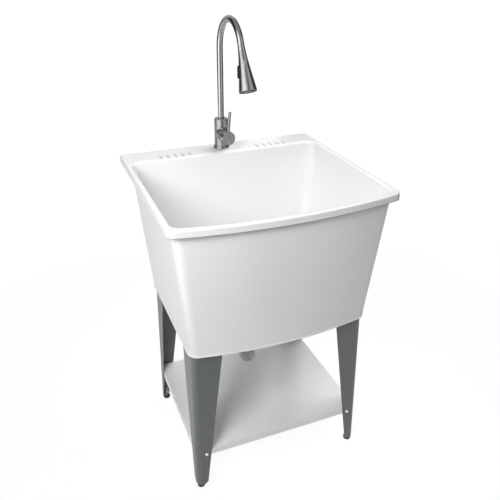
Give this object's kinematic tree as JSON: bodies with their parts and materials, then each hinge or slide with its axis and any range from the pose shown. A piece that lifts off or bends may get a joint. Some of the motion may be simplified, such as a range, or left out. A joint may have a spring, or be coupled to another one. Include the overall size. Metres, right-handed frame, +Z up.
{
  "type": "utility laundry sink",
  "caption": "Free-standing laundry tub on splayed sheet-steel legs with a storage shelf, drain, and a single-lever gooseneck faucet with a pull-down spray head.",
  "frame": {"origin": "on the floor under the middle of the rim's outline", "axes": "+X to the right as a user stands at the sink, +Y to the wall, +Z up"},
  "size_m": [0.61, 0.575, 1.243],
  "materials": {
    "tub_white": "glossy white moulded polypropylene",
    "shelf_white": "white enamelled sheet steel",
    "leg_paint": "semi-gloss gray enamel",
    "bright_screw": "bright plated",
    "zinc": "zinc plated",
    "foot_black": "satin",
    "black_rubber": "matte",
    "drain_plastic": "satin white plastic",
    "white_washer": "satin",
    "brushed_metal": "brushed stainless",
    "brass": "machined",
    "valve_plastic": "satin",
    "dark_plastic": "satin",
    "hose_sleeve": "woven nylon sleeve",
    "nozzle_rubber": "matte",
    "aerator_gray": "satin"
  },
  "bodies": {
    "stand": {"tub": "tub_white", "shelf": "shelf_white", "shelf_screws": "bright_screw", "shelf_nuts": "zinc", "foot_nuts": "zinc", "drain_gasket": "black_rubber", "drain_body": "drain_plastic", "drain_washer": "black_rubber", "drain_locknut": "drain_plastic", "tail_washer": "white_washer", "tailpiece": "drain_plastic", "coupling_nut": "drain_plastic", "trap_nut": "drain_plastic", "trap_washer": "white_washer", "base_gasket": "black_rubber", "base_ring": "brushed_metal", "faucet_body": "brushed_metal", "valve_core": "brass", "mounting_stud": "zinc", "rubber_pad": "black_rubber", "clamp_plate": "zinc", "clamp_nut": "brass", "cartridge_housing": "valve_plastic", "cartridge_nut": "brass", "valve_dome": "brushed_metal", "spout_bush": "valve_plastic", "leg_front_left": "leg_paint", "leg_front_right": "leg_paint", "leg_back_left": "leg_paint", "leg_back_right": "leg_paint"},
    "foot_front_left": {"foot_pad_front_left": "foot_black", "foot_stem_front_left": "zinc"},
    "foot_front_right": {"foot_pad_front_right": "foot_black", "foot_stem_front_right": "zinc"},
    "foot_back_left": {"foot_pad_back_left": "foot_black", "foot_stem_back_left": "zinc"},
    "foot_back_right": {"foot_pad_back_right": "foot_black", "foot_stem_back_right": "zinc"},
    "stopper": {"drain_stopper": "black_rubber"},
    "carriage": {"cartridge_carriage": "valve_plastic", "lever_pin": "zinc"},
    "handle": {"cartridge_stem": "zinc", "handle_cap": "brushed_metal", "lever": "brushed_metal", "handle_screw": "zinc", "screw_plug": "dark_plastic"},
    "spout": {"spout_tube": "brushed_metal", "tube_stop": "zinc", "docking_collar": "dark_plastic", "pull_hose": "hose_sleeve"},
    "spray_head": {"spray_shell": "brushed_metal", "hose_nut": "zinc", "spray_core": "valve_plastic", "spray_face": "dark_plastic", "spray_nozzles": "nozzle_rubber", "aerator": "aerator_gray"},
    "button": {"spray_button": "dark_plastic"}
  },
  "joints": [
    {"name": "foot_travel_front_left", "type": "slide", "parent": "stand", "child": "foot_front_left", "axis": [0, 0, -1], "range_m": [0, 0.012]},
    {"name": "foot_travel_front_right", "type": "slide", "parent": "stand", "child": "foot_front_right", "axis": [0, 0, -1], "range_m": [0, 0.012]},
    {"name": "foot_travel_back_left", "type": "slide", "parent": "stand", "child": "foot_back_left", "axis": [0, 0, -1], "range_m": [0, 0.012]},
    {"name": "foot_travel_back_right", "type": "slide", "parent": "stand", "child": "foot_back_right", "axis": [0, 0, -1], "range_m": [0, 0.012]},
    {"name": "stopper_lift", "type": "slide", "parent": "stand", "child": "stopper", "axis": [0, 0, 1], "range_m": [0, 0.06]},
    {"name": "lever_temperature", "type": "hinge", "parent": "stand", "child": "carriage", "pos_m": [0, 0.206, 0.906], "axis": [0, -1, 0], "range_deg": [-45, 45]},
    {"name": "lever_flow", "type": "hinge", "parent": "carriage", "child": "handle", "pos_m": [0, 0.206, 0.906], "axis": [1, 0, 0], "range_deg": [0, 25]},
    {"name": "spout_swivel", "type": "hinge", "parent": "stand", "child": "spout", "pos_m": [0, 0.248, 0.95], "axis": [0, 0, 1], "range_deg": [-180, 180]},
    {"name": "spray_pull", "type": "slide", "parent": "spout", "child": "spray_head", "axis": [0, -0.4226, -0.9063], "range_m": [0, 0.25], "stiffness_N_per_m": 10, "springref_m": -0.4, "deforming": ["pull_hose"]},
    {"name": "spray_button", "type": "slide", "parent": "spray_head", "child": "button", "axis": [0.9888, -0.0629, -0.135], "range_m": [0, 0.0015], "stiffness_N_per_m": 400, "springref_m": -0.002}
  ]
}
